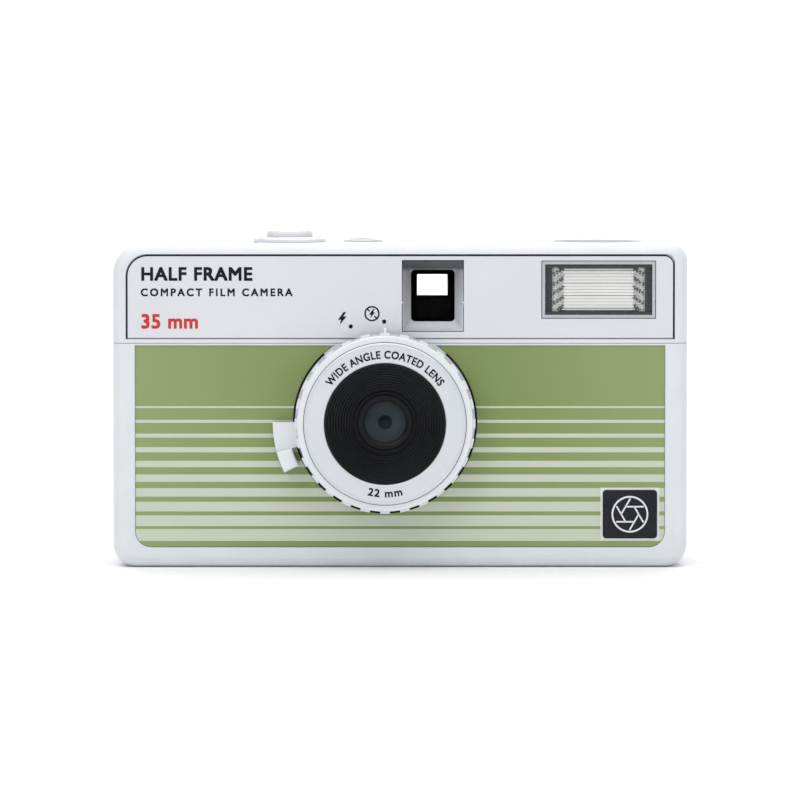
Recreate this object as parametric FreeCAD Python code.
"""Half frame camera: a flat plastic 35 mm camera that exposes 17 x 24 mm frames.

Frame: X runs to the right as the camera faces the viewer, the lens faces -Y, Z is up.
The origin is under the middle of the camera, on the surface that it stands on.
All sizes are millimetres.
"""
import FreeCAD, Part
import math
import os

from FreeCAD import Vector

# ---------------------------------------------------------------- driving dimensions
BODY_W = 110.0            # width of the body
BODY_H = 62.0             # height of the body, without the button
BODY_D = 29.5             # depth of the body, without lens and eyepiece
BACK_Y = 17.5             # rear face of the body
WALL = 1.6                # wall of the covers
CORNER_TL = 5.8           # outline corner, upper left
CORNER_TR = 3.4           # outline corner, upper right
CORNER_LOW = 4.5          # outline corners at the bottom
EDGE_ROUND = 2.4          # rounding of the front edge
BACK_ROUND = 1.6          # rounding of the rear edge
PART_GAP = 0.15           # half of the gap between the rear door and the covers
SEAM_GAP = 0.05           # half of the seam between front cover and top cover
SLIDE_GAP = 0.3           # gap round a piece that moves past another
SEAT_GAP = 0.2            # gap between the inner frame and the covers
RUN_GAP = 0.06            # radial gap of a shaft or ring that turns in its seat

LENS_X = -2.85            # lens axis
LENS_Z = 28.0             # lens axis, also the middle of the film
LENS_OUT = 7.5            # how far the name ring stands in front of the body
SPLIT_Z = LENS_Z + 15.0   # parting line of front cover and top cover
DOOR_TOP = BODY_H - 12.5   # upper edge of the rear door
DOOR_D = 5.0              # depth of the rear door
FILM_DROP = 6.1           # film plane in front of the rear face
FRAME_W = 17.0            # exposed frame
FRAME_H = 24.0
FILM_H = 35.0             # film width

PANEL_T = 0.6             # striped panel
FACE_T = 0.8              # upper face panel
FACE_LOW = SPLIT_Z + 0.9
FACE_TOP = BODY_H - 2.1
FACE_SIDE = 2.65          # from the body's side to the face panel
STRIPE_LOW = 4.0
STRIPE_TOP = SPLIT_Z - 0.5
STRIPE_SIDE = 4.4
STRIPE_CUT_R = 17.6       # the striped panel stops at this radius round the lens

CORE_R = 15.5             # fixed tube that carries the lens rings
CORE_WALL = 1.0
CORE_HOLE_GAP = 0.3
NAME_IN_R = 11.6
NAME_T = 0.9
FLASH_RING_R = 16.75
FLASH_RING_L = 4.3
FLASH_BUMPS = 28
FLASH_BUMP_H = 0.45
LEVER_T = 1.5
LEVER_R = 21.45
LEVER_RING_R = 16.9
GLASS_R = 4.4
FILTER_ARM = 10.2         # filter pivot from the lens axis
STOP_ARM = 9.0            # aperture plate pivot from the lens axis

CASSETTE_R = 12.7         # film cassette chamber
CASSETTE_SIDE = 2.3       # chamber wall towards the side of the body
CASSETTE_FRONT = 0.6
CASSETTE_UP = 21.4        # chamber top above the film's middle
CASSETTE_DOWN = 22.2
CASSETTE_ROOF = 0.8
TAKEUP_R = 10.0
TAKEUP_SIDE = 4.0
SPOOL_R = 5.5
SPOOL_FLANGE_R = 9.4
WHEEL_R = 13.4            # advance wheel
WHEEL_T = 4.0
WHEEL_OUT = 1.0           # how far the wheel stands out of the back
SPROCKET_R = 6.05
SPROCKET_X = -20.5
SPROCKET_TEETH = 8
SHAFT_R = 1.25
DECK_T = 1.4
CELL_R = 5.25             # AAA cell
CELL_L = 44.5
CELL_X = 18.5
CELL_Y = 3.5
CELL_GAP = 0.25

BUTTON_X = -21.25
BUTTON_Y = 1.0
BUTTON_R = 4.55
BUTTON_UP = 2.35
BUTTON_PRESS = 1.3
COLLAR_R = 7.1
COLLAR_H = 1.0
STEM_R = 1.6
CABLE_R = 0.95            # bore for a cable release
CABLE_L = 4.0
COUNTER_X = -7.1
COUNTER_Y = 2.0
COUNTER_R = 3.8
DIAL_X = -9.3
DIAL_Y = 6.2
DIAL_R = 8.85
DIAL_T = 1.0

FINDER_X0 = 0.36
FINDER_X1 = 12.2
FINDER_Z0 = BODY_H - 16.8
FINDER_Z1 = BODY_H - 3.1
FINDER_BEVEL_X = 1.75
FINDER_BEVEL_Z = 1.9
FINDER_WALL = 0.8
FINDER_LENS_R = 12.0      # hollow curve of the front lens
FINDER_AXIS_Z = BODY_H - 11.5
EYE_W = 9.6
EYE_H = 7.4
EYE_RIM = 1.2              # frame round the eyepiece opening
EYE_OUT = 2.0
FLASH_X0 = 27.0
FLASH_X1 = 48.9
FLASH_Z0 = BODY_H - 14.3
FLASH_Z1 = BODY_H - 3.2

KNOB_R = 8.5
KNOB_H = 3.6
KNOB_RECESS = 4.4
FORK_R = 2.4
PIN_R = 0.8
TRIPOD_R = 2.6            # wall of the 1/4 inch thread's hole
TRIPOD_L = 6.5
TRIPOD_Y = 3.0
TRIPOD_OUT_R = 4.6
STRAP_H = 9.0

# ---------------------------------------------------------------- values that follow
HALF_W = BODY_W / 2
FRONT_Y = BACK_Y - BODY_D
IN_FRONT = FRONT_Y + WALL
IN_BACK = BACK_Y - WALL
IN_TOP = BODY_H - WALL
IN_SIDE = HALF_W - WALL
DOOR_Y = BACK_Y - DOOR_D
FILM_Y = BACK_Y - FILM_DROP
NAME_Y = FRONT_Y - LENS_OUT
CORE_Y0 = NAME_Y + NAME_T
CHASSIS_X = IN_SIDE - 2 * SEAT_GAP
CHASSIS_Y0 = IN_FRONT + SEAT_GAP
CHASSIS_Y1 = DOOR_Y - SEAT_GAP
CHASSIS_Z0 = WALL + SEAT_GAP
CHASSIS_Z1 = LENS_Z + FILM_H / 2 + 0.7
DECK_Z1 = CHASSIS_Z1 + DECK_T
CASSETTE_X = CHASSIS_X - CASSETTE_SIDE - CASSETTE_R
CASSETTE_Y = CHASSIS_Y0 + CASSETTE_FRONT + CASSETTE_R
CASSETTE_Z0 = LENS_Z - CASSETTE_DOWN
CASSETTE_Z1 = LENS_Z + CASSETTE_UP
ROOF_Z = CASSETTE_Z1 + CASSETTE_ROOF
TAKEUP_X = -(CHASSIS_X - TAKEUP_SIDE - TAKEUP_R)
WHEEL_Y = BACK_Y + WHEEL_OUT - WHEEL_R
WHEEL_Z0 = DOOR_TOP + 1.5
WHEEL_Z1 = WHEEL_Z0 + WHEEL_T
SPROCKET_Y = FILM_Y - SPROCKET_R - 0.05
CHAMBER_FLOOR = CHASSIS_Z0 + 2.2
FLASH_RING_Y0 = NAME_Y + 0.6
FLASH_RING_Y1 = FLASH_RING_Y0 + FLASH_RING_L
LEVER_Y0 = FLASH_RING_Y1 + 0.2
LEVER_Y1 = LEVER_Y0 + LEVER_T
CORE_BACK = FRONT_Y + 6.8
HINGE_R = 3.2
HINGE_X = -(HALF_W - HINGE_R)
HINGE_Y = BACK_Y - HINGE_R
DIAL_Z = IN_TOP - 3.8
KNOB_Z0 = BODY_H - KNOB_RECESS + 0.2
KNOB_Z1 = KNOB_Z0 + KNOB_H
EYE_X = (FINDER_X0 + FINDER_X1) / 2
EYE_Z = DOOR_TOP + 0.6 + EYE_H / 2
UP = Vector(0, 0, 1)
FORWARD = Vector(0, 1, 0)


# ---------------------------------------------------------------- helpers
def box(x0, x1, y0, y1, z0, z1):
    return Part.makeBox(x1 - x0, y1 - y0, z1 - z0, Vector(x0, y0, z0))


def post(x, y, z0, z1, r):
    """Upright cylinder."""
    return Part.makeCylinder(r, z1 - z0, Vector(x, y, z0), UP)


def barrel(x, z, y0, y1, r):
    """Cylinder along Y."""
    return Part.makeCylinder(r, y1 - y0, Vector(x, y0, z), FORWARD)


def lens_barrel(y0, y1, r):
    return barrel(LENS_X, LENS_Z, y0, y1, r)


def lens_ring(y0, y1, r_out, r_in):
    return lens_barrel(y0, y1, r_out).cut(lens_barrel(y0 - 1, y1 + 1, r_in))


def pipe(x, y, z0, z1, r_out, r_in):
    return post(x, y, z0, z1, r_out).cut(post(x, y, z0 - 1, z1 + 1, r_in))


def join(shapes):
    first = shapes[0]
    return first.fuse(shapes[1:]).removeSplitter() if len(shapes) > 1 else first


def outline(x0, x1, z0, z1, r_tl, r_tr, r_br, r_bl, y0, y1):
    """Plate in the XZ plane with four corner radii, from y0 to y1."""
    corners = [(x0, z0, r_bl, 180), (x1, z0, r_br, 270), (x1, z1, r_tr, 0), (x0, z1, r_tl, 90)]
    signs = {180: (1, 1), 270: (-1, 1), 0: (-1, -1), 90: (1, -1)}
    edges = []
    ends = []
    for x, z, r, start in corners:
        if r <= 0.01:
            ends.append((Vector(x, y0, z), Vector(x, y0, z), None))
            continue
        sx, sz = signs[start]
        cx, cz = x + sx * r, z + sz * r
        pts = [Vector(cx + r * math.cos(math.radians(start + a)), y0,
                      cz + r * math.sin(math.radians(start + a))) for a in (0, 45, 90)]
        ends.append((pts[0], pts[2], Part.Arc(*pts).toShape()))
    for i, (first, last, arc) in enumerate(ends):
        if arc is not None:
            edges.append(arc)
        following = ends[(i + 1) % 4][0]
        edges.append(Part.LineSegment(last, following).toShape())
    face = Part.Face(Part.Wire(edges))
    return face.extrude(Vector(0, y1 - y0, 0))


def round_edges(shape, r, test):
    """Fillet the edges whose every vertex passes the test."""
    edges = [e for e in shape.Edges if all(test(v.Point) for v in e.Vertexes)]
    return shape.makeFillet(r, edges)


def turned(shape, degrees, x=LENS_X, z=LENS_Z):
    """Copy turned about a line along Y, clockwise as seen by someone facing the camera."""
    copy = shape.copy()
    copy.rotate(Vector(x, 0, z), FORWARD, degrees)
    return copy


def spun(shape, degrees, x, y):
    """Copy turned about an upright line."""
    copy = shape.copy()
    copy.rotate(Vector(x, y, 0), UP, degrees)
    return copy


def revolve_y(points, x, z):
    """Solid of revolution about a line along Y; points are (radius, y)."""
    wire = Part.makePolygon([Vector(x + r, y, z) for r, y in points + points[:1]])
    return Part.Face(wire).revolve(Vector(x, 0, z), FORWARD, 360)


def revolve_z(points, x, y):
    """Solid of revolution about an upright line; points are (radius, z)."""
    wire = Part.makePolygon([Vector(x + r, y, z) for r, z in points + points[:1]])
    return Part.Face(wire).revolve(Vector(x, y, 0), UP, 360)


# ---------------------------------------------------------------- covers
LENS_HOLE_R = CORE_R + CORE_HOLE_GAP
FOOT_Z = 4.7              # top of the lower hinge lug
LATCH_Y0 = 5.2
LATCH_Y1 = 8.8
LATCH_Z0 = 23.2
LATCH_Z1 = 32.8
LATCH_TRAVEL = 3.0
WELL_Z0 = DIAL_Z + DIAL_T + 0.4
WELL_Z1 = WELL_Z0 + 1.0
COLLAR_IN_R = BUTTON_R + 0.2
HUB_R = COLLAR_IN_R + 0.6
STRAP_Y0 = FRONT_Y + 2.4
STRAP_Y1 = FRONT_Y + 8.6
STRAP_Z0 = DECK_Z1 + 1.4
STRAP_Z1 = STRAP_Z0 + STRAP_H
STRAP_BAR_X = -HALF_W + 1.1
STRAP_BAR_R = 0.8
BATTERY_X0 = CELL_X - CELL_R - 1.3
BATTERY_X1 = CELL_X + CELL_R + 1.3
BATTERY_Y0 = CELL_Y - CELL_R - 1.3
BATTERY_Y1 = CELL_Y + CELL_R + 1.3
DOOR_AXIS_Y = BATTERY_Y1 - 1.0
RELEASE_R = 2.4
SCREWS = [(-HALF_W + 6.0, -6.5), (-HALF_W + 13.0, 8.6), (HALF_W - 6.0, -6.5), (HALF_W - 24.0, 9.6)]
SCREW_R = 1.0
SCREW_HEAD_R = 1.9


def body_block(inset, y0, y1):
    return outline(-HALF_W + inset, HALF_W - inset, inset, BODY_H - inset,
                   CORNER_TL - inset, CORNER_TR - inset, CORNER_LOW - inset,
                   CORNER_LOW - inset, y0, y1)


def outer_block():
    block = body_block(0, FRONT_Y, BACK_Y)
    block = round_edges(block, EDGE_ROUND, lambda p: p.y < FRONT_Y + 0.01)
    return round_edges(block, BACK_ROUND, lambda p: p.y > BACK_Y - 0.01)


OUTER = outer_block()
SHELL = OUTER.cut(body_block(WALL, IN_FRONT, IN_BACK))
REACH = 2 * BODY_W


def stripe_outline(grow, y0, y1):
    r = 3.0 + grow
    plate = outline(-HALF_W + STRIPE_SIDE - grow, HALF_W - STRIPE_SIDE + grow,
                    STRIPE_LOW - grow, STRIPE_TOP + grow, 0, 0, r, r, y0, y1)
    return plate.cut(lens_barrel(y0 - 1, y1 + 1, STRIPE_CUT_R - grow))


def face_outline(grow, y0, y1):
    return outline(-HALF_W + FACE_SIDE + 0.05 - grow, HALF_W - FACE_SIDE + 0.05 + grow,
                   FACE_LOW - grow, FACE_TOP + grow, 4.0 + grow, 1.55 + grow, 0, 0, y0, y1)


def hinge_seat(z0, z1, r=HINGE_R + SLIDE_GAP):
    return post(HINGE_X, HINGE_Y, z0, z1, r)


def front_cover():
    region = box(-REACH, REACH, FRONT_Y - 1, DOOR_Y - PART_GAP, -1, SPLIT_Z - SEAM_GAP)
    cover = SHELL.common(region)
    foot = OUTER.common(join([hinge_seat(0, FOOT_Z, HINGE_R),
                              box(-HALF_W, HINGE_X, DOOR_Y - 1, HINGE_Y, 0, FOOT_Z)]))
    cover = join([cover, foot])
    cuts = [stripe_outline(0.12, FRONT_Y - 1, FRONT_Y + PANEL_T + 0.1),
            lens_barrel(FRONT_Y - 1, IN_FRONT + 1, LENS_HOLE_R),
            hinge_seat(FOOT_Z, SPLIT_Z + 1),
            post(HINGE_X, HINGE_Y, FOOT_Z - 2.4, FOOT_Z + 1, PIN_R),
            post(LENS_X, TRIPOD_Y, -1, WALL + 1, TRIPOD_R + 1.1),
            box(BATTERY_X0, BATTERY_X1, BATTERY_Y0, BATTERY_Y1, -1, WALL + 1),
            Part.makeCylinder(0.4 + RUN_GAP, BATTERY_X1 - BATTERY_X0 + 3,
                              Vector(BATTERY_X0 - 1.5, DOOR_AXIS_Y, WALL / 2), Vector(1, 0, 0)),
            post(SPROCKET_X, SPROCKET_Y, -1, WALL + 1, RELEASE_R + 0.15),
            box(IN_SIDE - 1, HALF_W + 1, LATCH_Y0 - 0.2, LATCH_Y1 + 0.2,
                LATCH_Z0 - LATCH_TRAVEL - 0.3, LATCH_Z1 + 0.3)]
    for x, y in SCREWS:
        cuts.append(post(x, y, -1, WALL + 1, SCREW_R + 0.1))
        cuts.append(post(x, y, -1, 0.9, SCREW_HEAD_R + 0.15))
    return cover.cut(cuts)


def top_cover():
    cover = SHELL.common(box(-REACH, REACH, FRONT_Y - 1, BACK_Y + 1,
                             SPLIT_Z + SEAM_GAP, BODY_H + 1))
    cover = cover.cut(box(-REACH, REACH, DOOR_Y - PART_GAP, BACK_Y + 1, 0, DOOR_TOP + PART_GAP))
    strap_wall = box(-HALF_W + 0.8, -HALF_W + 4.6, STRAP_Y0 - 1, STRAP_Y1 + 1,
                     STRAP_Z0 - 1, STRAP_Z1 + 1)
    knob_cup = post(CASSETTE_X, CASSETTE_Y, BODY_H - KNOB_RECESS - 1, BODY_H - 1, KNOB_R + 1.3)
    well = post(BUTTON_X, BUTTON_Y, WELL_Z0, BODY_H - 1, HUB_R + 1.1)
    hinge_boss = OUTER.common(hinge_seat(DOOR_TOP + PART_GAP, DOOR_TOP + 3.0, HINGE_R))
    cover = join([cover, strap_wall, knob_cup, well, hinge_boss])
    cuts = [face_outline(0.12, FRONT_Y - 1, FRONT_Y + FACE_T),
            lens_barrel(FRONT_Y - 1, IN_FRONT + 1, LENS_HOLE_R),
            box(FINDER_X0, FINDER_X1, FRONT_Y - 1, IN_FRONT + 1, FINDER_Z0, FINDER_Z1),
            box(FLASH_X0, FLASH_X1, FRONT_Y - 1, IN_FRONT + 1, FLASH_Z0, FLASH_Z1),
            box(EYE_X - EYE_W / 2 + 0.6, EYE_X + EYE_W / 2 - 0.6, IN_BACK - 1, BACK_Y + 1,
                EYE_Z - EYE_H / 2 + 0.6, EYE_Z + EYE_H / 2 - 0.6),
            barrel(EYE_X + EYE_W, EYE_Z, IN_BACK - 1, BACK_Y + 1, 1.45),
            hinge_seat(0, DOOR_TOP + PART_GAP),
            post(TAKEUP_X, WHEEL_Y, WHEEL_Z0 - SLIDE_GAP, WHEEL_Z1 + SLIDE_GAP,
                 WHEEL_R + SLIDE_GAP),
            box(-HALF_W - 1, -HALF_W + 3.6, STRAP_Y0, STRAP_Y1, STRAP_Z0, STRAP_Z1),
            post(CASSETTE_X, CASSETTE_Y, BODY_H - KNOB_RECESS, BODY_H + 1, KNOB_R + SLIDE_GAP),
            post(CASSETTE_X, CASSETTE_Y, BODY_H - KNOB_RECESS - 2, BODY_H, FORK_R + RUN_GAP),
            post(BUTTON_X, BUTTON_Y, WELL_Z1, BODY_H + 1, HUB_R + RUN_GAP),
            post(BUTTON_X, BUTTON_Y, WELL_Z0 - 1, WELL_Z1 + 1, STEM_R + RUN_GAP),
            post(COUNTER_X, COUNTER_Y, IN_TOP - 1, BODY_H + 1, COUNTER_R - 0.5),
            post(HINGE_X, HINGE_Y, DOOR_TOP - 1, DOOR_TOP + 2.2, PIN_R)]
    return cover.cut(cuts)


def upper_face_panel():
    panel = face_outline(0, FRONT_Y, FRONT_Y + FACE_T)
    cuts = [lens_barrel(FRONT_Y - 1, IN_FRONT, LENS_HOLE_R),
            box(FINDER_X0, FINDER_X1, FRONT_Y - 1, IN_FRONT, FINDER_Z0, FINDER_Z1),
            box(FLASH_X0, FLASH_X1, FRONT_Y - 1, IN_FRONT, FLASH_Z0, FLASH_Z1)]
    return panel.cut(cuts)


def striped_panel():
    """The inner upper corners beside the lens are rounded off."""
    panel = stripe_outline(0, FRONT_Y + 0.1, FRONT_Y + 0.1 + PANEL_T)
    tips = [e for e in panel.Edges if len(e.Vertexes) == 2
            and all(abs(v.Point.z - STRIPE_TOP) < 0.01 for v in e.Vertexes)
            and all(abs(v.Point.x - LENS_X) < STRIPE_CUT_R for v in e.Vertexes)
            and abs(e.Vertexes[0].Point.x - e.Vertexes[1].Point.x) < 0.01]
    return panel.makeFillet(0.3, tips)


BADGE_W = 10.4
BADGE_H = 9.3


def badge():
    x1 = HALF_W - STRIPE_SIDE - 1.4
    z0 = STRIPE_LOW + 1.6
    plate = outline(x1 - BADGE_W, x1, z0, z0 + BADGE_H, 0.7, 0.7, 0.7, 0.7,
                    FRONT_Y - 0.25, FRONT_Y + 0.1)
    return round_edges(plate, 0.1, lambda p: p.y < FRONT_Y - 0.24)


def rear_door():
    """Back of the camera with its hinge knuckle, a light rib and the latch keeper."""
    y0 = DOOR_Y + PART_GAP
    z1 = DOOR_TOP - PART_GAP
    door = SHELL.common(box(HINGE_X, REACH, y0, BACK_Y + 1, -1, z1))
    knuckle = post(HINGE_X, HINGE_Y, FOOT_Z + PART_GAP, z1, HINGE_R)
    rib = box(HINGE_X + 5, IN_SIDE - 1, y0 + 0.5, IN_BACK + 0.5, z1 - 1.2, z1)
    keeper = box(IN_SIDE - 2.2, IN_SIDE + 0.5, y0 + 0.2, IN_BACK + 0.5,
                 LATCH_Z0 + 4.8, LATCH_Z0 + 6.8)
    door = join([door, knuckle, rib, keeper])
    return door.cut([hinge_seat(-1, FOOT_Z + PART_GAP), post(HINGE_X, HINGE_Y, 0, z1 + 1, PIN_R)])


def hinge_pin():
    return post(HINGE_X, HINGE_Y, FOOT_Z - 2.3, DOOR_TOP + 2.1, PIN_R - 0.04)


def strap_bar():
    y = (STRAP_Y0 + STRAP_Y1) / 2
    return post(STRAP_BAR_X, y, STRAP_Z0, STRAP_Z1, STRAP_BAR_R)


def door_latch():
    """Sliding catch: thumb pad in the side slot, plate behind it, tongue towards the door."""
    pad = box(IN_SIDE - 0.3, HALF_W - 0.2, LATCH_Y0, LATCH_Y1, LATCH_Z0, LATCH_Z1)
    ribs = [box(HALF_W - 0.5, HALF_W + 1, LATCH_Y0 - 1, LATCH_Y1 + 1,
                LATCH_Z0 + 1.3 + 1.5 * i, LATCH_Z0 + 2.0 + 1.5 * i) for i in range(5)]
    plate = box(IN_SIDE - 1.6, IN_SIDE - 0.25, LATCH_Y0 - 1.2, DOOR_Y - 0.5,
                LATCH_Z0 - 1.5, LATCH_Z1 + 1.7)
    tongue = box(IN_SIDE - 1.6, IN_SIDE - 0.25, DOOR_Y - 1, DOOR_Y + 2.0,
                 LATCH_Z0 + 0.8, LATCH_Z0 + 3.8)
    return join([pad.cut(ribs), plate, tongue])


def coil(x, y, z0, z1, r, half, turns):
    """Compression spring of square wire, standing upright; half is half the wire's thickness."""
    rise = z1 - z0 - 2 * half
    path = Part.makeHelix(rise / turns, rise, r)
    corners = [Vector(r + a * half, 0, b * half) for a, b in ((-1, -1), (1, -1), (1, 1), (-1, 1))]
    section = Part.makePolygon(corners + corners[:1])
    spring = Part.Wire(path).makePipeShell([section], True, True)
    spring.translate(Vector(x, y, z0 + half))
    return spring


def latch_spring():
    return coil(IN_SIDE - 1.0, LATCH_Y0 + 1.8, LATCH_Z1 + 2.0, LATCH_Z1 + 6.5, 0.65, 0.16, 6)


def door_seal():
    """Foam strip on the door beside the hinge."""
    x0 = HINGE_X + 4.4
    return box(x0, x0 + 1.8, IN_BACK - 1.5, IN_BACK, FOOT_Z + 4, DOOR_TOP - 3)


PLATE_X0 = LENS_X - 13.0
PLATE_X1 = LENS_X + 24.0
PLATE_Y0 = FILM_Y + 0.5
PLATE_T = 0.8


def pressure_plate():
    plate = outline(PLATE_X0, PLATE_X1, LENS_Z - 17.2, LENS_Z + 17.2, 2, 2, 2, 2,
                    PLATE_Y0, PLATE_Y0 + PLATE_T)
    pins = [barrel(LENS_X + x, LENS_Z, PLATE_Y0 + 0.5, PLATE_Y0 + 2.4, 1.0) for x in (-6.0, 17.0)]
    return join([plate] + pins)


def pressure_spring():
    """Bowed leaf between the door and the pressure plate."""
    x0, x1 = LENS_X - 8.0, LENS_X + 19.0
    y_low = PLATE_Y0 + PLATE_T + 0.75
    y_top = IN_BACK
    mid = (x0 + x1) / 2
    outer_arc = Part.Arc(Vector(x0, y_low, 0), Vector(mid, y_top, 0), Vector(x1, y_low, 0))
    inner_arc = Part.Arc(Vector(x1, y_low - 0.25, 0), Vector(mid, y_top - 0.25, 0),
                         Vector(x0, y_low - 0.25, 0))
    wire = Part.Wire([outer_arc.toShape(),
                      Part.LineSegment(Vector(x1, y_low, 0), Vector(x1, y_low - 0.25, 0)).toShape(),
                      inner_arc.toShape(),
                      Part.LineSegment(Vector(x0, y_low - 0.25, 0), Vector(x0, y_low, 0)).toShape()])
    leaf = Part.Face(wire).extrude(Vector(0, 0, 8))
    leaf.translate(Vector(0, 0, LENS_Z - 4))
    holes = [barrel(LENS_X + x, LENS_Z, FILM_Y, IN_BACK + 1, 1.6) for x in (-6.0, 17.0)]
    return leaf.cut(holes)


# ---------------------------------------------------------------- inner frame
POCKET_R = CORE_R + 0.3
POCKET_BACK = CORE_BACK + 0.2
WELL_R = SPROCKET_R + 1.25
CAP_X = SPROCKET_X - 3.0
CAP_R = 3.4
CAP_Y = CHASSIS_Y0 + CAP_R + 0.6
CAP_Z0 = CHASSIS_Z0 + 4.2
CAP_Z1 = CAP_Z0 + 32.0
BOARD_X0 = CELL_X - 4.3
BOARD_X1 = CELL_X + 7.2
BOARD_Y = CHASSIS_Y0 + 0.7
BOARD_T = 1.0
BOARD_Z0 = CHASSIS_Z0 + 1.6
BOARD_Z1 = CHASSIS_Z1 - 1.0
BAY_TOP = CHASSIS_Z0 + CELL_L + 1.2
RAIL_T = 0.4


def light_tunnel():
    """Four-sided taper from the shutter to the film gate."""
    front = [(-3.4, -3.4), (3.4, -3.4), (3.4, 3.4), (-3.4, 3.4)]
    back = [(-FRAME_W / 2, -FRAME_H / 2), (FRAME_W / 2, -FRAME_H / 2),
            (FRAME_W / 2, FRAME_H / 2), (-FRAME_W / 2, FRAME_H / 2)]
    wires = []
    for y, corners in ((POCKET_BACK - 0.01, front), (FILM_Y + 1, back)):
        points = [Vector(LENS_X + x, y, LENS_Z + z) for x, z in corners]
        wires.append(Part.makePolygon(points + points[:1]))
    return Part.makeLoft(wires, True, True)


def in_sections(shape, seams):
    """Cuts a shape at upright seams across X, given from left to right, into touching solids."""
    edges = [-REACH] + list(seams) + [REACH]
    sections = []
    for x0, x1 in zip(edges, edges[1:]):
        sections += shape.common(box(x0, x1, -REACH, REACH, -REACH, REACH)).Solids
    return Part.makeCompound(sections)


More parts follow.
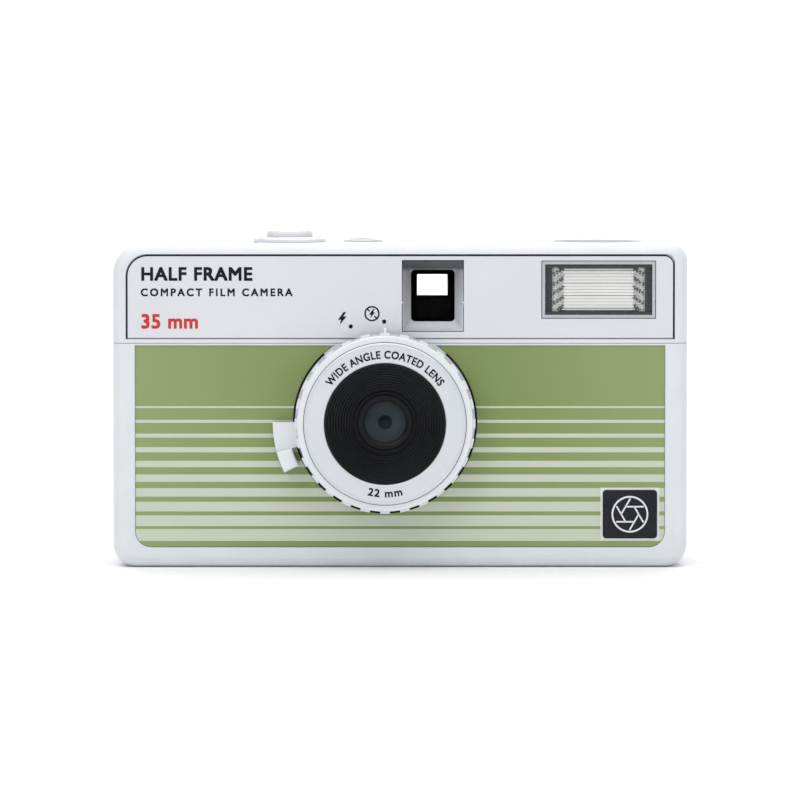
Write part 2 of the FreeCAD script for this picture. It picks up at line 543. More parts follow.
def film_chassis():
    """Black mouldings with the film chambers, the light tunnel and the battery bay, side by side."""
    r = CORNER_LOW - WALL
    block = outline(-CHASSIS_X, CHASSIS_X, CHASSIS_Z0, CHASSIS_Z1, 0, 0, r, r,
                    CHASSIS_Y0, CHASSIS_Y1)
    back = box(TAKEUP_X - TAKEUP_R, CASSETTE_X + CASSETTE_R, FILM_Y - RAIL_T, DOOR_Y + 1,
               CHASSIS_Z0 + 3.4, CHASSIS_Z1 + 1)
    block = block.cut(back)
    rails = []
    for side in (-1, 1):
        inner = LENS_Z + side * (FRAME_H / 2 + 1.6)
        outer = LENS_Z + side * (FILM_H / 2 - 0.8)
        rails.append(box(LENS_X - 9.5, LENS_X + 24, FILM_Y - 2, FILM_Y,
                         min(inner, outer), max(inner, outer)))
    housing = box(CASSETTE_X - CASSETTE_R - 0.9, CHASSIS_X, CHASSIS_Y0, CHASSIS_Y1,
                  CHASSIS_Z1 - 1, ROOF_Z)
    contact_cap = box(CELL_X - CELL_R - 1.2, CASSETTE_X - CASSETTE_R, CELL_Y - CELL_R - 1.2,
                      CELL_Y + CELL_R + 1.2, CHASSIS_Z1 - 1, BAY_TOP + 1.2)
    block = join([block, housing, contact_cap] + rails)
    hub = post(CASSETTE_X, CASSETTE_Y, CHASSIS_Z0 + 0.8, CASSETTE_Z0 + 1, 6.0)
    cuts = [post(CASSETTE_X, CASSETTE_Y, CASSETTE_Z0, CASSETTE_Z1, CASSETTE_R),
            box(CASSETTE_X - CASSETTE_R, CASSETTE_X + CASSETTE_R, CASSETTE_Y, DOOR_Y + 1,
                CASSETTE_Z0, CASSETTE_Z1),
            hub,
            box(CASSETTE_X - 6, CASSETTE_X + 6, CASSETTE_Y, DOOR_Y + 1, CHASSIS_Z0 + 0.8,
                CASSETTE_Z0 + 1),
            post(CASSETTE_X, CASSETTE_Y, CASSETTE_Z1 - 1, ROOF_Z + 1, FORK_R + RUN_GAP),
            post(TAKEUP_X, WHEEL_Y, CHAMBER_FLOOR, CHASSIS_Z1 + 1, TAKEUP_R),
            box(TAKEUP_X - TAKEUP_R, TAKEUP_X + TAKEUP_R, WHEEL_Y, DOOR_Y + 1,
                CHAMBER_FLOOR, CHASSIS_Z1 + 1),
            post(TAKEUP_X, WHEEL_Y, CHASSIS_Z0 + 0.7, CHAMBER_FLOOR + 1, 2.0 + RUN_GAP),
            post(SPROCKET_X, SPROCKET_Y, CHAMBER_FLOOR + 4, CHASSIS_Z1 + 1, WELL_R),
            box(SPROCKET_X - WELL_R, SPROCKET_X + WELL_R, SPROCKET_Y, DOOR_Y + 1,
                CHAMBER_FLOOR + 4, CHASSIS_Z1 + 1),
            post(SPROCKET_X, SPROCKET_Y, CHAMBER_FLOOR - 1, CHAMBER_FLOOR + 5, SHAFT_R + RUN_GAP),
            post(SPROCKET_X, SPROCKET_Y, 0, CHAMBER_FLOOR + 1.2, RELEASE_R + 0.9),
            light_tunnel(),
            lens_barrel(CHASSIS_Y0 - 1, POCKET_BACK, POCKET_R),
            post(CELL_X, CELL_Y, 0, BAY_TOP, CELL_R + CELL_GAP),
            box(CELL_X - 2.4, CELL_X + 2.4, BATTERY_Y0 - 0.2, CELL_Y, 0, CHASSIS_Z0 + 1.2),
            box(BOARD_X0 - 0.4, BOARD_X1 + 0.4, CHASSIS_Y0 - 1, CELL_Y - CELL_R - CELL_GAP - 1.0,
                BOARD_Z0 - 0.4, CHASSIS_Z1 + 5),
            post(CAP_X, CAP_Y, CAP_Z0 - 0.4, CHASSIS_Z1 - 2, CAP_R + 0.4),
            box(CAP_X - CAP_R - 0.4, CAP_X + CAP_R + 0.4, CHASSIS_Y0 - 1, CAP_Y,
                CAP_Z0 - 0.4, CHASSIS_Z1 - 2),
            post(LENS_X, TRIPOD_Y, 0, TRIPOD_L + 1.9, TRIPOD_OUT_R + 0.1),
            box(IN_SIDE - 2.1, HALF_W, LATCH_Y0 - 1.8, DOOR_Y + 1,
                LATCH_Z0 - LATCH_TRAVEL - 2.2, LATCH_Z1 + 7),
            hinge_seat(0, CHASSIS_Z1 + 1),
            box(-CHASSIS_X + 1.2, TAKEUP_X + TAKEUP_R - 0.5, CHASSIS_Y0 - 1,
                WHEEL_Y - TAKEUP_R - 1.2, CHASSIS_Z0 + 2, CHASSIS_Z1 - 2),
            box(LENS_X - 9, LENS_X + 9, CHASSIS_Y0 - 1, CHASSIS_Y0 + 4,
                CHASSIS_Z0 + 2, LENS_Z - POCKET_R - 1)]
    for x, y in SCREWS:
        cuts.append(post(x, y, 0, CHASSIS_Z0 + 1.9, SCREW_R - 0.05))
    seams = (TAKEUP_X + TAKEUP_R + 0.6, LENS_X - 9.5, LENS_X, CELL_X - CELL_R - 1.2,
             CASSETTE_X - CASSETTE_R - 0.9, CASSETTE_X)
    return in_sections(block.cut(cuts), seams)


# ---------------------------------------------------------------- film transport
DECK_X0 = -CHASSIS_X + 1.0
DECK_X1 = FINDER_X0 - 1.4
PAWL_X = TAKEUP_X + 8.5
PAWL_Y = WHEEL_Y - 7.1
RATCHET_R = 5.0
RATCHET_Z0 = DECK_Z1 + 1.5
LEVER_AXIS_Y = BUTTON_Y - 5.0
LEVER_AXIS_Z = DECK_Z1 + 2.2
STEM_Z0 = DECK_Z1 + 4.4


def across(x0, x1, y, z, r):
    """Cylinder along X."""
    return Part.makeCylinder(r, x1 - x0, Vector(x0, y, z), Vector(1, 0, 0))


def transport_deck():
    """Plate over the film chambers with the pivots of the counter, pawl and release lever."""
    deck = box(DECK_X0, DECK_X1, CHASSIS_Y0, CHASSIS_Y1, CHASSIS_Z1, DECK_Z1)
    dial_post = post(DIAL_X, DIAL_Y, DECK_Z1 - 0.5, DIAL_Z + DIAL_T + 0.3, 1.0)
    dial_step = post(DIAL_X, DIAL_Y, DECK_Z1 - 0.5, DIAL_Z - 0.1, 2.2)
    pawl_post = post(PAWL_X, PAWL_Y, DECK_Z1 - 0.5, RATCHET_Z0 + 1.5, 1.0)
    ears = [box(BUTTON_X + x, BUTTON_X + x + 1.0, LEVER_AXIS_Y - 1.3, LEVER_AXIS_Y + 1.3,
                DECK_Z1 - 0.5, LEVER_AXIS_Z + 1.3) for x in (-2.3, 1.3)]
    deck = join([deck, dial_post, dial_step, pawl_post] + ears)
    cuts = [post(TAKEUP_X, WHEEL_Y, 0, BODY_H, 3.0 + RUN_GAP),
            post(SPROCKET_X, SPROCKET_Y, 0, DECK_Z1 + 1, SHAFT_R + RUN_GAP),
            across(BUTTON_X - 3, BUTTON_X + 3, LEVER_AXIS_Y, LEVER_AXIS_Z, 0.6 + RUN_GAP),
            hinge_seat(0, BODY_H)]
    return deck.cut(cuts)


def advance_wheel():
    """Thumb wheel with a notched rim and a ratchet below it."""
    wheel = post(TAKEUP_X, WHEEL_Y, WHEEL_Z0, WHEEL_Z1, WHEEL_R)
    wheel = round_edges(wheel, 0.5, lambda p: True)
    notch = post(TAKEUP_X + WHEEL_R + 0.25, WHEEL_Y, WHEEL_Z0 - 1, WHEEL_Z1 + 1, 0.55)
    wheel = wheel.cut([spun(notch, i * 360 / 60, TAKEUP_X, WHEEL_Y) for i in range(60)])
    ratchet = post(TAKEUP_X, WHEEL_Y, RATCHET_Z0, RATCHET_Z0 + 1.6, RATCHET_R)
    tooth = box(TAKEUP_X + RATCHET_R - 0.6, TAKEUP_X + RATCHET_R + 1, WHEEL_Y, WHEEL_Y + 0.5,
                RATCHET_Z0 - 1, RATCHET_Z0 + 2)
    ratchet = ratchet.cut([spun(tooth, i * 360 / 20, TAKEUP_X, WHEEL_Y) for i in range(20)])
    hub = post(TAKEUP_X, WHEEL_Y, CHASSIS_Z1 + 0.1, WHEEL_Z0 + 1, 3.0)
    spigot = post(TAKEUP_X, WHEEL_Y, CHASSIS_Z1 - 5, CHASSIS_Z1 + 1, 1.95)
    dish = post(TAKEUP_X, WHEEL_Y, WHEEL_Z1 - 1, WHEEL_Z1 + 1, WHEEL_R - 2.5)
    return join([wheel.cut(dish), ratchet, hub, spigot])


def take_up_spool():
    """Slotted spool that winds the exposed film."""
    top = CHASSIS_Z1 - 0.1
    core = post(TAKEUP_X, WHEEL_Y, CHAMBER_FLOOR + 0.3, top, SPOOL_R)
    flange = post(TAKEUP_X, WHEEL_Y, LENS_Z - FILM_H / 2 - 1.3, LENS_Z - FILM_H / 2 - 0.3,
                  SPOOL_FLANGE_R)
    stub = post(TAKEUP_X, WHEEL_Y, CHASSIS_Z0 + 0.9, CHAMBER_FLOOR + 1, 2.0)
    spool = join([core, flange, stub])
    slot = box(TAKEUP_X + 2.6, TAKEUP_X + SPOOL_R + 1, WHEEL_Y - 0.6, WHEEL_Y + 0.6,
               LENS_Z - 14, LENS_Z + 14)
    slots = [spun(slot, i * 120 + 30, TAKEUP_X, WHEEL_Y) for i in range(3)]
    return spool.cut(slots + [post(TAKEUP_X, WHEEL_Y, top - 5.2, top + 1, 2.0)])


def sprocket_shaft():
    """Film sprocket with its shaft, which carries the two-finger cam of the counter."""
    perf_z = LENS_Z + FILM_H / 2 - 2.0
    shaft = post(SPROCKET_X, SPROCKET_Y, CHAMBER_FLOOR + 1.5, DIAL_Z + DIAL_T, SHAFT_R)
    drum = post(SPROCKET_X, SPROCKET_Y, perf_z - 1.5, perf_z + 1.9, SPROCKET_R)
    lower = post(SPROCKET_X, SPROCKET_Y, LENS_Z - FILM_H / 2 - 1, LENS_Z - FILM_H / 2 + 3, 4.5)
    cam = post(SPROCKET_X, SPROCKET_Y, DECK_Z1 + 1.0, DECK_Z1 + 2.4, 2.4)
    tooth = Part.makeCone(0.85, 0.45, 1.3, Vector(SPROCKET_X + SPROCKET_R - 0.4, SPROCKET_Y, perf_z),
                          Vector(1, 0, 0))
    teeth = [spun(tooth, i * 360 / SPROCKET_TEETH, SPROCKET_X, SPROCKET_Y)
             for i in range(SPROCKET_TEETH)]
    fingers = box(SPROCKET_X - 2.2, SPROCKET_X + 2.2, SPROCKET_Y - 0.4, SPROCKET_Y + 0.4,
                  DIAL_Z, DIAL_Z + DIAL_T)
    return join([shaft, drum, lower, cam, fingers] + teeth)


def counter_dial():
    """Exposure counter disc with 80 notches."""
    dial = post(DIAL_X, DIAL_Y, DIAL_Z, DIAL_Z + DIAL_T, DIAL_R)
    notch = box(DIAL_X + DIAL_R - 0.35, DIAL_X + DIAL_R + 1, DIAL_Y - 0.16, DIAL_Y + 0.16,
                DIAL_Z - 1, DIAL_Z + DIAL_T + 1)
    notches = [spun(notch, i * 360 / 80, DIAL_X, DIAL_Y) for i in range(80)]
    bore = post(DIAL_X, DIAL_Y, DIAL_Z - 1, DIAL_Z + 2, 1.0 + RUN_GAP)
    return dial.cut(notches + [bore])


def counter_window():
    """Clear domed disc over the counter numbers."""
    profile = [(0.0, IN_TOP + 0.2), (COUNTER_R - 0.56, IN_TOP + 0.2),
               (COUNTER_R - 0.56, BODY_H + 0.02), (COUNTER_R, BODY_H + 0.02),
               (COUNTER_R, BODY_H + 0.25), (COUNTER_R - 0.3, BODY_H + 0.45), (0.0, BODY_H + 0.6)]
    return revolve_z(profile, COUNTER_X, COUNTER_Y)


def pawl():
    """Anti-reverse catch of the advance wheel."""
    z0, z1 = RATCHET_Z0 + 0.2, RATCHET_Z0 + 1.3
    angle = math.radians(-10)
    tip = Vector(TAKEUP_X + (RATCHET_R + 0.75) * math.cos(angle),
                 WHEEL_Y + (RATCHET_R + 0.75) * math.sin(angle), z0)
    pivot = Vector(PAWL_X, PAWL_Y, z0)
    along = (tip - pivot).normalize()
    side = Vector(-along.y, along.x, 0) * 0.5
    corners = [pivot + side, tip + side, tip - side, pivot - side]
    arm = Part.Face(Part.makePolygon(corners + corners[:1])).extrude(Vector(0, 0, z1 - z0))
    parts = [arm, post(tip.x, tip.y, z0, z1, 0.5), post(PAWL_X, PAWL_Y, z0, z1, 1.8)]
    return join(parts).cut(post(PAWL_X, PAWL_Y, z0 - 1, z1 + 1, 1.0 + RUN_GAP))


def release_lever():
    """Rocker under the shutter button."""
    y0, z = LEVER_AXIS_Y, LEVER_AXIS_Z
    rear = box(BUTTON_X - 1.0, BUTTON_X + 1.0, y0, BUTTON_Y + 0.8, z - 0.5, z + 0.7)
    toe = box(BUTTON_X - 1.0, BUTTON_X + 1.0, BUTTON_Y - 0.8, BUTTON_Y + 0.8, z, STEM_Z0 - 0.25)
    front = box(BUTTON_X - 1.0, BUTTON_X + 1.0, y0 - 4.0, y0, z - 0.5, z + 0.7)
    boss = across(BUTTON_X - 1.0, BUTTON_X + 1.0, y0, z, 1.2)
    axle = across(BUTTON_X - 2.2, BUTTON_X + 2.2, y0, z, 0.6)
    return join([rear, toe, front, boss, axle])


def shutter_button():
    """Cap with a cable release bore, hollow below for its spring."""
    cap = post(BUTTON_X, BUTTON_Y, WELL_Z1 + BUTTON_PRESS + 0.4, BODY_H + BUTTON_UP, BUTTON_R)
    cap = round_edges(cap, 0.7, lambda p: p.z > BODY_H + BUTTON_UP - 0.01)
    hollow = pipe(BUTTON_X, BUTTON_Y, WELL_Z1, BODY_H + 0.9, BUTTON_R - 1.0, STEM_R)
    stem = post(BUTTON_X, BUTTON_Y, STEM_Z0, BODY_H, STEM_R)
    top = BODY_H + BUTTON_UP
    bore = post(BUTTON_X, BUTTON_Y, top - CABLE_L, top + 1, CABLE_R)
    return join([cap.cut(hollow), stem]).cut(bore)


def button_spring():
    return coil(BUTTON_X, BUTTON_Y, WELL_Z1 + 0.02, BODY_H + 0.86, 2.6, 0.2, 5)


def bulb_ring():
    """Collar round the button; turned, it holds the shutter open."""
    profile = [(COLLAR_IN_R, WELL_Z1 + 0.1), (HUB_R, WELL_Z1 + 0.1), (HUB_R, BODY_H + 0.05),
               (COLLAR_R, BODY_H + 0.05), (COLLAR_R, BODY_H + COLLAR_H - 0.45),
               (COLLAR_R - 0.45, BODY_H + COLLAR_H), (COLLAR_IN_R, BODY_H + COLLAR_H)]
    ring = revolve_z(profile, BUTTON_X, BUTTON_Y)
    nib = box(BUTTON_X - 0.5, BUTTON_X + 0.5, BUTTON_Y + COLLAR_R - 0.8, BUTTON_Y + COLLAR_R + 0.5,
              BODY_H + 0.05, BODY_H + COLLAR_H - 0.2)
    return join([ring, nib])


# ---------------------------------------------------------------- lens and shutter
BLADE_PIVOT = Vector(LENS_X + 7.0, 0, LENS_Z - 6.0)
STRIKER_PIVOT = Vector(LENS_X - 9.0, 0, LENS_Z + 3.0)
STOP_PIVOT = Vector(LENS_X + STOP_ARM * 0.5, 0, LENS_Z - STOP_ARM * math.sqrt(0.75))
FILTER_PIVOT = Vector(LENS_X - FILTER_ARM * math.sqrt(0.75), 0, LENS_Z + FILTER_ARM * 0.5)
STOP_TURN = 32.0
FILTER_TURN = 50.0
FILTER_GLASS_R = 3.4
CONE_STEPS = 9
BASE_T = 1.0
PLATE_Y = CORE_BACK - BASE_T - 2.4   # front of the shutter plate
PLATE_BACK = PLATE_Y + 0.8
GLASS_Y = NAME_Y + 5.4


def sector(cx, cz, r0, r1, a0, a1, y0, y1):
    """Ring sector about a line along Y; angles in degrees, anticlockwise as seen from the front."""
    points = []
    for r, y in ((r0, y0), (r1, y0), (r1, y1), (r0, y1)):
        angle = math.radians(a0)
        points.append(Vector(cx + r * math.cos(angle), y, cz + r * math.sin(angle)))
    face = Part.Face(Part.makePolygon(points + points[:1]))
    return face.revolve(Vector(cx, 0, cz), Vector(0, -1, 0), a1 - a0)


def link(a, b, width, y0, y1):
    """Straight bar with round ends between two points of an XZ plane."""
    along = Vector(b.x - a.x, 0, b.z - a.z)
    side = Vector(-along.z, 0, along.x).normalize() * (width / 2)
    pa = Vector(a.x, y0, a.z)
    pb = Vector(b.x, y0, b.z)
    corners = [pa + side, pb + side, pb - side, pa - side]
    bar = Part.Face(Part.makePolygon(corners + corners[:1])).extrude(Vector(0, y1 - y0, 0))
    ends = [barrel(p.x, p.z, y0, y1, width / 2) for p in (a, b)]
    return join([bar] + ends)


def lens_core():
    """Fixed tube with its base plate and the pivots of blade and striker."""
    tube = lens_ring(CORE_Y0 + 0.05, CORE_BACK, CORE_R, CORE_R - CORE_WALL)
    base = lens_ring(CORE_BACK - BASE_T, CORE_BACK, CORE_R - 0.5, 3.4)
    posts = [barrel(LENS_X + 13.0 * math.cos(math.radians(a)), LENS_Z + 13.0 * math.sin(math.radians(a)),
                    PLATE_BACK, CORE_BACK - 0.5, 1.2) for a in (80, 200, 320)]
    pivots = [barrel(p.x, p.z, PLATE_BACK + 0.1, CORE_BACK - 0.5, 0.8)
              for p in (BLADE_PIVOT, STRIKER_PIVOT)]
    return join([tube, base] + posts + pivots)


def name_ring():
    profile = [(NAME_IN_R, NAME_Y + 0.25), (NAME_IN_R + 0.25, NAME_Y), (CORE_R - 0.5, NAME_Y),
               (CORE_R - 0.05, NAME_Y + 0.3), (CORE_R - 0.05, CORE_Y0), (NAME_IN_R, CORE_Y0)]
    return revolve_y(profile, LENS_X, LENS_Z)


def lens_cone():
    """Black stepped funnel in front of the glass."""
    r_out, r_in = NAME_IN_R - 0.1, GLASS_R + 0.2
    y_out, y_in = NAME_Y + 0.2, GLASS_Y - 0.3
    profile = []
    for i in range(CONE_STEPS + 1):
        f = i / CONE_STEPS
        r = r_out - 0.3 + (r_in + 1.6 - r_out + 0.3) * f
        y = y_out + (y_in - y_out) * f
        profile.append((r, y))
        if i < CONE_STEPS:
            profile.append((r, y + (y_in - y_out) / CONE_STEPS * 0.9))
    profile += [(r_in, y_in), (r_in, GLASS_Y + 1.9), (r_in + 1.4, GLASS_Y + 1.9),
                (r_out, CORE_Y0 + 1.2), (CORE_R - CORE_WALL - 0.05, CORE_Y0 + 1.2),
                (CORE_R - CORE_WALL - 0.05, CORE_Y0 + 0.1), (r_out, CORE_Y0 + 0.1), (r_out, y_out)]
    return revolve_y(profile, LENS_X, LENS_Z)


def bowed_glass(y0, y1, r, bow):
    """Lens element with two convex faces."""
    glass = lens_barrel(y0, y1, r)
    ball_r = (r * r + bow * bow) / (2 * bow)
    front = Part.makeSphere(ball_r, Vector(LENS_X, y0 + ball_r, LENS_Z))
    back = Part.makeSphere(ball_r, Vector(LENS_X, y1 - ball_r, LENS_Z))
    return glass.common(front).common(back)


def front_element():
    return bowed_glass(GLASS_Y, GLASS_Y + 1.8, GLASS_R, 0.55)


def rear_element():
    return bowed_glass(PLATE_Y - 1.2, PLATE_Y - 0.1, 3.9, 0.3)


def shutter_plate():
    """Plate that holds the rear element, the filter pivot and the aperture pivot."""
    plate = lens_ring(PLATE_Y, PLATE_BACK, CORE_R - CORE_WALL - 0.15, 1.8)
    collar = lens_ring(PLATE_Y - 1.2, PLATE_Y + 0.1, 5.0, 3.95)
    posts = [barrel(STOP_PIVOT.x, STOP_PIVOT.z, PLATE_Y - 2.2, PLATE_Y + 0.1, 0.7),
             barrel(FILTER_PIVOT.x, FILTER_PIVOT.z, PLATE_Y - 3.1, PLATE_Y + 0.1, 0.7)]
    return join([plate, collar] + posts)


def shutter_blade():
    y0, y1 = PLATE_BACK + 0.25, PLATE_BACK + 0.5
    centre = Vector(LENS_X, 0, LENS_Z)
    parts = [link(BLADE_PIVOT, centre, 2.6, y0, y1), lens_barrel(y0, y1, 2.6),
             barrel(BLADE_PIVOT.x, BLADE_PIVOT.z, y0, y1, 1.9)]
    return join(parts).cut(barrel(BLADE_PIVOT.x, BLADE_PIVOT.z, y0 - 1, y1 + 1, 0.8 + RUN_GAP))


def striker_lever():
    y0, y1 = PLATE_BACK + 0.8, PLATE_BACK + 1.3
    tip = Vector(LENS_X - 1.5, 0, LENS_Z + 9.0)
    parts = [link(STRIKER_PIVOT, tip, 1.8, y0, y1),
             barrel(STRIKER_PIVOT.x, STRIKER_PIVOT.z, y0, y1, 1.8)]
    return join(parts).cut(barrel(STRIKER_PIVOT.x, STRIKER_PIVOT.z, y0 - 1, y1 + 1, 0.8 + RUN_GAP))


def aperture_plate():
    """Swinging stop with a small hole for daylight and a larger one for flash."""
    y0, y1 = PLATE_Y - 2.0, PLATE_Y - 1.7
    px, pz = STOP_PIVOT.x, STOP_PIVOT.z
    fan = sector(px, pz, 1.0, STOP_ARM + 2.6, 120 - 17 - STOP_TURN, 120 + 17, y0, y1)
    second = turned(barrel(LENS_X, LENS_Z, y0 - 1, y1 + 1, 1.38), STOP_TURN, px, pz)
    cuts = [barrel(px, pz, y0 - 1, y1 + 1, 0.7 + RUN_GAP),
            lens_barrel(y0 - 1, y1 + 1, 1.0), second]
    fan = join([fan, barrel(px, pz, y0, y1, 1.9)]).cut(cuts)
    return fan.common(lens_barrel(y0 - 1, y1 + 1, CORE_R - CORE_WALL - 0.4))


def parked_filter():
    """Where the star filter rests, turned out of the light path."""
    spot = barrel(LENS_X, LENS_Z, 0, 1, 1)
    spot = turned(spot, -FILTER_TURN, FILTER_PIVOT.x, FILTER_PIVOT.z)
    return spot.CenterOfMass


def star_filter_carrier():
    y0, y1 = PLATE_Y - 3.0, PLATE_Y - 2.4
    park = parked_filter()
    parts = [barrel(park.x, park.z, y0, y1, FILTER_GLASS_R + 0.8),
             link(FILTER_PIVOT, Vector(park.x, 0, park.z), 2.4, y0, y1),
             barrel(FILTER_PIVOT.x, FILTER_PIVOT.z, y0, y1, 1.8)]
    cuts = [barrel(park.x, park.z, y0 - 1, y1 + 1, FILTER_GLASS_R),
            barrel(FILTER_PIVOT.x, FILTER_PIVOT.z, y0 - 1, y1 + 1, 0.7 + RUN_GAP)]
    return join(parts).cut(cuts)


def star_filter_glass():
    park = parked_filter()
    return barrel(park.x, park.z, PLATE_Y - 2.95, PLATE_Y - 2.45, FILTER_GLASS_R - 0.02)


def flash_ring():
    """Notched ring round the lens with the flash pointer on top."""
    y0, y1 = FLASH_RING_Y0, FLASH_RING_Y1
    ring = lens_barrel(y0, y1, FLASH_RING_R)
    ring = round_edges(ring, 0.3, lambda p: p.y < y0 + 0.01)
    step = 360 / FLASH_BUMPS
    bumps = []
    for i in range(FLASH_BUMPS):
        a = 90 + i * step
        bumps.append(sector(LENS_X, LENS_Z, FLASH_RING_R - 0.6, FLASH_RING_R + FLASH_BUMP_H,
                            a - 3.1, a + 3.1, y0 + 0.6, y1 - 0.3))
    pointer = box(LENS_X - 0.2, LENS_X + 0.2, y0 + 0.8, y0 + 2.2, LENS_Z + FLASH_RING_R - 0.2,
                  LENS_Z + FLASH_RING_R + 1.5)
    ring = join([ring, pointer] + bumps)
    return ring.cut(lens_barrel(y0 - 1, y1 + 1, CORE_R + RUN_GAP))


def star_lever():
    """Ring behind the flash ring with the arm that swings the star filter in."""
    y0, y1 = LEVER_Y0, LEVER_Y1
    ring = lens_ring(y0, y1, LEVER_RING_R, CORE_R + RUN_GAP)
    arm = sector(LENS_X, LENS_Z, LEVER_RING_R - 0.5, LEVER_R, 180, 195.6, y0, y1 + 0.5)
    tab = sector(LENS_X, LENS_Z, 18.4, LEVER_R, 195.4, 206.4, y0 - 1.8, y1 + 0.5)
    tab = round_edges(tab, 0.5, lambda p: p.y < y0 - 1.79)
    return join([ring, arm, tab])


# ---------------------------------------------------------------- flash
MOUTH_X0 = FLASH_X0 + 1.6
MOUTH_X1 = FLASH_X1 - 1.6
MOUTH_Z0 = FLASH_Z0 + 3.4
MOUTH_Z1 = FLASH_Z1 - 1.3
REFLECTOR_Y1 = CASSETTE_Y - KNOB_R + 0.4
TUBE_Y = REFLECTOR_Y1 - 1.8
TUBE_Z = (MOUTH_Z0 + MOUTH_Z1) / 2 - 0.4


def flash_window():
    g = 0.12
    pane = box(FLASH_X0 + g, FLASH_X1 - g, FRONT_Y - 0.1, IN_FRONT - 0.05,
               FLASH_Z0 + g, FLASH_Z1 - g)
    return round_edges(pane, 0.3, lambda p: p.y < FRONT_Y - 0.09)


def taper(x0, x1, z0, z1, y0, shrink_x, low, high, y1):
    """Four-sided funnel: the far end is narrower by shrink_x, low and high."""
    wires = []
    for y, a, b, c, d in ((y0, x0, x1, z0, z1),
                          (y1, x0 + shrink_x, x1 - shrink_x, z0 + low, z1 - high)):
        points = [Vector(a, y, c), Vector(b, y, c), Vector(b, y, d), Vector(a, y, d)]
        wires.append(Part.makePolygon(points + points[:1]))
    return Part.makeLoft(wires, True, True)


def flash_reflector():
    t = 0.5
    y0, y1 = IN_FRONT + 0.1, REFLECTOR_Y1
    outer = taper(MOUTH_X0 - t, MOUTH_X1 + t, MOUTH_Z0 - t, MOUTH_Z1 + t, y0, 2.6, 1.0, 2.9, y1)
    inner = taper(MOUTH_X0, MOUTH_X1, MOUTH_Z0, MOUTH_Z1, y0 - 0.01, 2.6, 1.0, 2.9, y1 - t)
    hole = across(FLASH_X0 - 2, FLASH_X1 + 2, TUBE_Y, TUBE_Z, 0.6)
    return outer.cut([inner, hole])


def flash_tube():
    glass = across(MOUTH_X0 + 3.0, MOUTH_X1 - 3.0, TUBE_Y, TUBE_Z, 1.1)
    pins = across(MOUTH_X0 + 0.2, MOUTH_X1 - 0.2, TUBE_Y, TUBE_Z, 0.4)
    return join([glass, pins])


def flash_board():
    """Circuit board with its transistor and charging resistors."""
    board = box(BOARD_X0, BOARD_X1, BOARD_Y, BOARD_Y + BOARD_T, BOARD_Z0, BOARD_Z1)
    chips = [box(BOARD_X0 + 1.5, BOARD_X0 + 5.0, BOARD_Y + BOARD_T - 0.1, BOARD_Y + 3.0, z, z + 4)
             for z in (BOARD_Z0 + 4, BOARD_Z0 + 30)]
    beads = [across(BOARD_X1 - 5, BOARD_X1 - 1.5, BOARD_Y + BOARD_T + 0.6, BOARD_Z0 + 3 + 3 * i, 0.8)
             for i in range(4)]
    return join([board] + chips + beads)


def flash_transformer():
    z = (BOARD_Z0 + BOARD_Z1) / 2
    y0 = BOARD_Y + BOARD_T + 0.05
    core = box(BOARD_X0 + 1, BOARD_X1 - 1, y0, y0 + 4.0, z - 4.5, z + 4.5)
    waist = box(BOARD_X0, BOARD_X1, y0 - 1, y0 + 5, z - 3, z + 3)
    winding = box(BOARD_X0 + 1.8, BOARD_X1 - 1.8, y0 + 0.4, y0 + 3.6, z - 3.1, z + 3.1)
    return join([core.cut(waist), winding])


def flash_capacitor():
    can = post(CAP_X, CAP_Y, CAP_Z0, CAP_Z1, CAP_R)
    return round_edges(can, 0.5, lambda p: True)


def ready_lamp():
    """Small light on the back that glows when the flash is charged."""
    return barrel(EYE_X + EYE_W, EYE_Z, IN_BACK - 2, BACK_Y + 0.3, 1.4)


# ---------------------------------------------------------------- viewfinder
TUBE_X0 = FINDER_X0 + 0.3
TUBE_X1 = FINDER_X1 - 0.3
TUBE_Z0 = max(FINDER_Z0 + 1.2, CHASSIS_Z1 + 0.2)
TUBE_Z1 = FINDER_Z1


def finder_frame():
    """Bevelled front surround of the viewfinder."""
    g = 0.12
    y0, y1 = FRONT_Y - 0.1, IN_FRONT
    block = box(FINDER_X0 + g, FINDER_X1 - g, y0, y1, FINDER_Z0 + g, FINDER_Z1 - g)
    rim = 0.4
    bevel = taper(FINDER_X0 + rim, FINDER_X1 - rim, FINDER_Z0 + rim, FINDER_Z1 - rim, y0 - 0.01,
                  FINDER_BEVEL_X - rim, FINDER_BEVEL_Z - rim, FINDER_BEVEL_Z - rim, y1 - 0.2)
    hole = box(FINDER_X0 + FINDER_BEVEL_X, FINDER_X1 - FINDER_BEVEL_X, y0 - 1, y1 + 1,
               FINDER_Z0 + FINDER_BEVEL_Z, FINDER_Z1 - FINDER_BEVEL_Z)
    return block.cut([bevel, hole])


def eye_opening(y0, y1):
    return box(EYE_X - EYE_W / 2 + EYE_RIM, EYE_X + EYE_W / 2 - EYE_RIM, y0, y1,
               EYE_Z - EYE_H / 2 + EYE_RIM, EYE_Z + EYE_H / 2 - EYE_RIM)


def finder_tube():
    """Black light shield between the front lens and the eyepiece."""
    w = FINDER_WALL
    y0, y1 = CHASSIS_Y0, IN_BACK - 0.4
    step_y, step_z = CHASSIS_Y1, DOOR_TOP + 0.3
    shield = box(TUBE_X0, TUBE_X1, y0, y1, TUBE_Z0, TUBE_Z1)
    shield = shield.cut(box(TUBE_X0 - 1, TUBE_X1 + 1, step_y, y1 + 1, TUBE_Z0 - 1, step_z))
    cuts = [box(TUBE_X0 + w, TUBE_X1 - w, y0 - 1, step_y - w, TUBE_Z0 + w, TUBE_Z1 - w),
            box(TUBE_X0 + w, TUBE_X1 - w, y0 - 1, y1 - w, step_z + w, TUBE_Z1 - w),
            eye_opening(y1 - 2, y1 + 1)]
    return shield.cut(cuts)


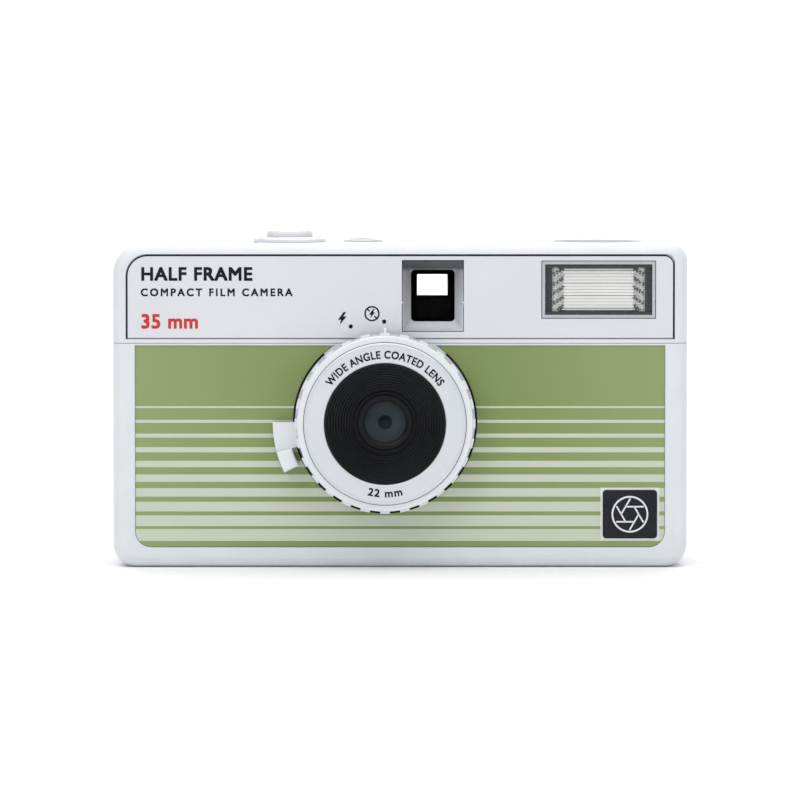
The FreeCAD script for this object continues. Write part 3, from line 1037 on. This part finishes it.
def finder_front_lens():
    """Hollow-ground lens: flat in front, its rear bowed in."""
    w = FINDER_WALL + 0.05
    y0 = CHASSIS_Y0 + 0.3
    pane = box(TUBE_X0 + w, TUBE_X1 - w, y0, y0 + 4.4, TUBE_Z0 + w, TUBE_Z1 - w)
    ball = Part.makeSphere(FINDER_LENS_R, Vector(EYE_X, y0 + 1.0 + FINDER_LENS_R, FINDER_AXIS_Z))
    return pane.cut(ball)


def eyepiece_frame():
    plate = box(EYE_X - EYE_W / 2, EYE_X + EYE_W / 2, BACK_Y + 0.02, BACK_Y + EYE_OUT,
                EYE_Z - EYE_H / 2, EYE_Z + EYE_H / 2)
    plate = round_edges(plate, 0.7, lambda p: p.y > BACK_Y + EYE_OUT - 0.01)
    plug = box(EYE_X - EYE_W / 2 + 0.7, EYE_X + EYE_W / 2 - 0.7, IN_BACK - 0.2, BACK_Y + 0.5,
               EYE_Z - EYE_H / 2 + 0.7, EYE_Z + EYE_H / 2 - 0.7)
    return join([plate, plug]).cut(eye_opening(IN_BACK - 1, BACK_Y + 5))


def eyepiece_lens():
    rim = EYE_RIM + 0.03
    return box(EYE_X - EYE_W / 2 + rim, EYE_X + EYE_W / 2 - rim, BACK_Y - 0.7, BACK_Y + 0.6,
               EYE_Z - EYE_H / 2 + rim, EYE_Z + EYE_H / 2 - rim)


# ---------------------------------------------------------------- rewind
CRANK_W = 4.4
CRANK_T = 1.2
CRANK_Z = KNOB_Z1 - 0.7
CRANK_X = CASSETTE_X - 5.5
HANDLE_X = CASSETTE_X + 5.0
HANDLE_R = 1.9


def rewind_knob():
    x, y = CASSETTE_X, CASSETTE_Y
    knob = post(x, y, KNOB_Z0, KNOB_Z1, KNOB_R)
    knob = round_edges(knob, 0.4, lambda p: p.z > KNOB_Z1 - 0.01)
    groove = post(x + KNOB_R + 0.2, y, KNOB_Z0 - 1, KNOB_Z1 + 1, 0.4)
    cuts = [spun(groove, i * 360 / 45, x, y) for i in range(45)]
    cuts.append(box(x - KNOB_R - 1, x + KNOB_R + 1, y - CRANK_W / 2 - 0.3, y + CRANK_W / 2 + 0.3,
                    CRANK_Z - CRANK_T / 2 - 0.2, KNOB_Z1 + 1))
    cuts.append(post(HANDLE_X, y, KNOB_Z0 - 1, KNOB_Z1, HANDLE_R + 0.7))
    cuts.append(Part.makeCylinder(0.5 + RUN_GAP, 8, Vector(CRANK_X, y - 4, CRANK_Z), FORWARD))
    return knob.cut(cuts)


def rewind_crank():
    x, y = CASSETTE_X, CASSETTE_Y
    arm = box(CRANK_X, HANDLE_X, y - CRANK_W / 2, y + CRANK_W / 2,
              CRANK_Z - CRANK_T / 2, CRANK_Z + CRANK_T / 2)
    tip = post(HANDLE_X, y, CRANK_Z - CRANK_T / 2, CRANK_Z + CRANK_T / 2, CRANK_W / 2)
    heel = Part.makeCylinder(CRANK_T / 2, CRANK_W, Vector(CRANK_X, y - CRANK_W / 2, CRANK_Z), FORWARD)
    axle = Part.makeCylinder(0.5, 7, Vector(CRANK_X, y - 3.5, CRANK_Z), FORWARD)
    hole = post(HANDLE_X, y, 0, BODY_H + 5, 0.7 + RUN_GAP)
    return join([arm, tip, heel, axle]).cut(hole)


def crank_handle():
    """Small grip that turns on its pin at the end of the crank."""
    grip = post(HANDLE_X, CASSETTE_Y, KNOB_Z0 + 0.3, CRANK_Z - CRANK_T / 2 - 0.08, HANDLE_R)
    pin = post(HANDLE_X, CASSETTE_Y, KNOB_Z0 + 1, CRANK_Z + CRANK_T / 2, 0.7)
    return join([grip, pin])


def rewind_fork():
    z0 = CASSETTE_Z1 - 5.4
    shaft = post(CASSETTE_X, CASSETTE_Y, z0, KNOB_Z0 - 0.02, FORK_R)
    slot = box(CASSETTE_X - 0.8, CASSETTE_X + 0.8, CASSETTE_Y - 4, CASSETTE_Y + 4, z0 - 1, z0 + 2.6)
    return shaft.cut(slot)


def rewind_clip():
    return pipe(CASSETTE_X, CASSETTE_Y, ROOF_Z + 0.15, ROOF_Z + 0.65, 3.6, FORK_R + RUN_GAP)


# ---------------------------------------------------------------- underside


def tripod_socket():
    """Metal insert with the 1/4 inch tripod thread."""
    flange = post(LENS_X, TRIPOD_Y, WALL + 0.1, TRIPOD_L + 1.7, TRIPOD_OUT_R)
    neck = post(LENS_X, TRIPOD_Y, 0.1, WALL + 0.5, TRIPOD_R + 1.0)
    return join([flange, neck]).cut(post(LENS_X, TRIPOD_Y, -1, TRIPOD_L + 0.1, TRIPOD_R))


def battery_door():
    """Flap with stub axles at its rear edge."""
    g = 0.2
    flap = box(BATTERY_X0 + g, BATTERY_X1 - g, BATTERY_Y0 + g, DOOR_AXIS_Y, 0.05, WALL - 0.05)
    heel = across(BATTERY_X0 + g, BATTERY_X1 - g, DOOR_AXIS_Y, WALL / 2, WALL / 2 - 0.05)
    catch = box(CELL_X - 2, CELL_X + 2, BATTERY_Y0 + g, BATTERY_Y0 + g + 1.0, WALL - 0.2, WALL + 0.8)
    grip = [box(CELL_X - 3, CELL_X + 3, BATTERY_Y0 + 1.6 + 0.9 * i, BATTERY_Y0 + 2.0 + 0.9 * i,
                -1, 0.3) for i in range(3)]
    axle = across(BATTERY_X0 - 1.4, BATTERY_X1 + 1.4, DOOR_AXIS_Y, WALL / 2, 0.4)
    return join([flap, heel, catch, axle]).cut(grip)


def battery_contacts():
    """Leaf at the top of the bay."""
    return post(CELL_X, CELL_Y, BAY_TOP - 0.5, BAY_TOP - 0.2, CELL_R)


def rewind_release():
    x, y = SPROCKET_X, SPROCKET_Y
    return join([post(x, y, 0.3, WALL + 0.5, RELEASE_R), post(x, y, WALL + 0.1, WALL + 0.6, RELEASE_R + 0.5),
                 post(x, y, WALL, WALL + 1.6, 1.0)])


def body_screws():
    screws = []
    for x, y in SCREWS:
        head = post(x, y, 0.06, 0.86, SCREW_HEAD_R)
        shank = post(x, y, 0.8, CHASSIS_Z0 + 1.7, SCREW_R - 0.1)
        slots = [box(x - 1.2, x + 1.2, y - 0.2, y + 0.2, -1, 0.5),
                 box(x - 0.2, x + 0.2, y - 1.2, y + 1.2, -1, 0.5)]
        screws.append(join([head, shank]).cut(slots))
    return Part.makeCompound(screws)


NODES = [
    front_cover, top_cover, rear_door, upper_face_panel, striped_panel, badge, film_chassis,
    transport_deck, hinge_pin, strap_bar, door_latch, latch_spring, door_seal, pressure_plate,
    pressure_spring, advance_wheel, take_up_spool, sprocket_shaft, counter_dial, counter_window,
    pawl, release_lever, shutter_button, button_spring, bulb_ring, lens_core,
    name_ring, lens_cone, front_element, rear_element, shutter_plate, shutter_blade,
    striker_lever, aperture_plate, star_filter_carrier, star_filter_glass, flash_ring,
    star_lever, flash_window, flash_reflector, flash_tube, flash_board, flash_transformer,
    flash_capacitor, ready_lamp, finder_frame, finder_tube, finder_front_lens, eyepiece_frame,
    eyepiece_lens, rewind_knob, rewind_crank, crank_handle, rewind_fork, rewind_clip,
    tripod_socket, battery_door, battery_contacts, rewind_release, body_screws]


def main():
    os.makedirs("parts", exist_ok=True)
    for make in NODES:
        shape = make()
        shape.exportStep("parts/" + make.__name__ + ".step")
        print(make.__name__, shape.isValid(), len(shape.Solids), round(shape.Volume, 1))


main()
